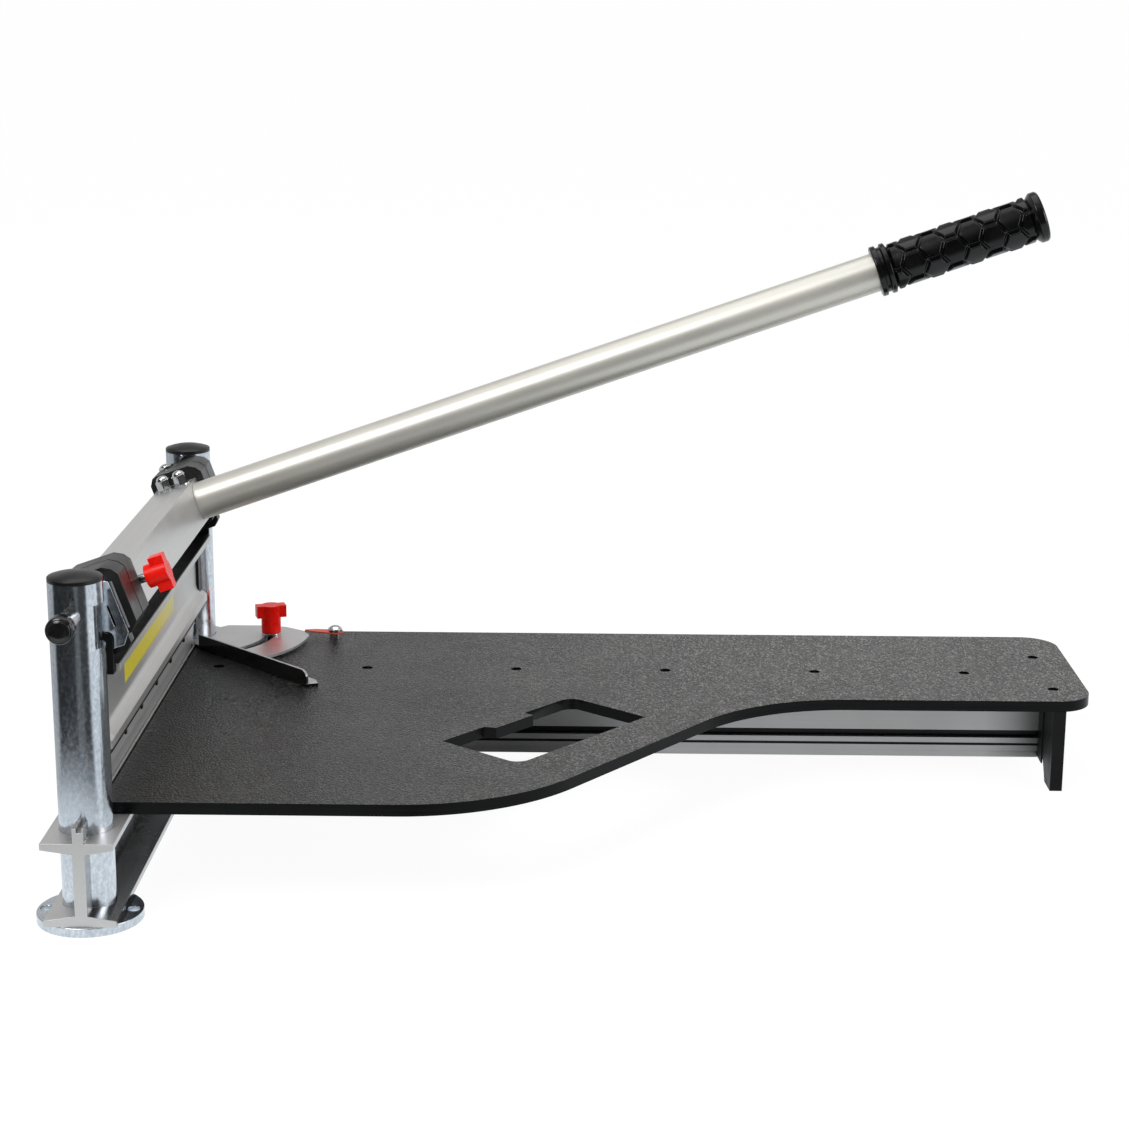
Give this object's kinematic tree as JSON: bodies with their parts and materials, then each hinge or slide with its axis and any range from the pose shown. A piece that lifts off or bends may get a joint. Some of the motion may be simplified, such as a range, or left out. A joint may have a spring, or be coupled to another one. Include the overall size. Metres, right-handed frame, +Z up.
{
  "type": "laminate cutter",
  "caption": "Bench guillotine for laminate boards: a long sloping handle drives a guided blade onto an anvil beside a black table with a swinging fence.",
  "frame": {"origin": "on the bench, midway between the two posts, at the centre of the bench bolt holes", "axes": "+X along the table, +Y along the blade towards the handle's end of the bar, +Z up"},
  "size_m": [0.7125, 0.496, 0.4288],
  "materials": {
    "aluminium": "satin",
    "zinc_steel": "zinc plated",
    "bright_steel": "bright",
    "chrome": "polished",
    "black_plastic": "satin",
    "black_board": "pebbled",
    "black_steel": "satin",
    "ground_steel": "ground",
    "handle_silver": "silver",
    "grip_rubber": "moulded",
    "red_plastic": "gloss",
    "red_paint": "satin"
  },
  "bodies": {
    "base": {"base_rail": "aluminium", "near_post": "zinc_steel", "far_post": "zinc_steel", "near_foot": "zinc_steel", "far_foot": "zinc_steel", "near_cap": "black_plastic", "far_cap": "black_plastic", "near_post_bush": "zinc_steel", "far_post_bush": "zinc_steel", "near_pivot_bolt": "bright_steel", "far_pivot_bolt": "bright_steel", "near_pivot_collar": "bright_steel", "far_pivot_collar": "bright_steel", "near_pivot_cap": "black_plastic", "far_pivot_cap": "black_plastic", "table": "black_board", "support_rail": "aluminium", "leg": "black_board", "table_screws": "black_steel", "leg_screws": "black_steel", "fence_stud": "bright_steel", "fence_washer": "bright_steel", "pointer": "red_paint", "pointer_spacer": "bright_steel", "pointer_screw": "chrome"},
    "carriage": {"blade_carrier": "aluminium", "near_end_plate": "aluminium", "far_end_plate": "aluminium", "carrier_strip": "black_plastic", "blade": "ground_steel", "blade_clamp": "ground_steel", "blade_screws": "black_steel", "near_guide": "black_plastic", "far_guide": "black_plastic", "near_lift_bracket": "black_steel", "far_lift_bracket": "black_steel", "near_lift_pin": "black_steel", "far_lift_pin": "black_steel"},
    "lever": {"lever_bar": "aluminium", "near_rocker": "zinc_steel", "far_rocker": "zinc_steel", "near_sleeve": "black_plastic", "far_sleeve": "black_plastic", "handle_tube": "handle_silver", "handle_spigot": "bright_steel", "grip": "grip_rubber", "handle_bolts": "chrome", "sleeve_bolt": "chrome"},
    "lock_knob": {"lock_stud": "bright_steel", "lock_knob": "red_plastic"},
    "fence": {"fence_bar": "black_steel", "angle_plate": "ground_steel", "fence_rivets": "black_steel"},
    "fence_knob": {"fence_knob": "red_plastic"}
  },
  "joints": [
    {"name": "lever_swing", "type": "hinge", "parent": "base", "child": "lever", "pos_m": [0, 0, 0.2], "axis": [0, -1, 0], "range_deg": [0, 45]},
    {"name": "carriage_slide", "type": "slide", "parent": "base", "child": "carriage", "axis": [0, 0, 1], "range_m": [0, 0.017]},
    {"name": "lock_knob_turn", "type": "hinge", "parent": "lever", "child": "lock_knob", "pos_m": [0.02116, -0.128, 0.2001], "axis": [0.9438, 0, 0.3305], "range_deg": [0, 180]},
    {"name": "fence_swing", "type": "hinge", "parent": "base", "child": "fence", "pos_m": [0, 0.199, 0.07], "axis": [0, 0, 1], "range_deg": [0, 45]},
    {"name": "fence_knob_turn", "type": "hinge", "parent": "base", "child": "fence_knob", "pos_m": [0.061, 0.199, 0.08], "axis": [0, 0, 1], "range_deg": [0, 180]}
  ],
  "couplings": [
    {"joint": "carriage_slide", "follows": "lever_swing", "m_per_rad": 0.021645}
  ]
}
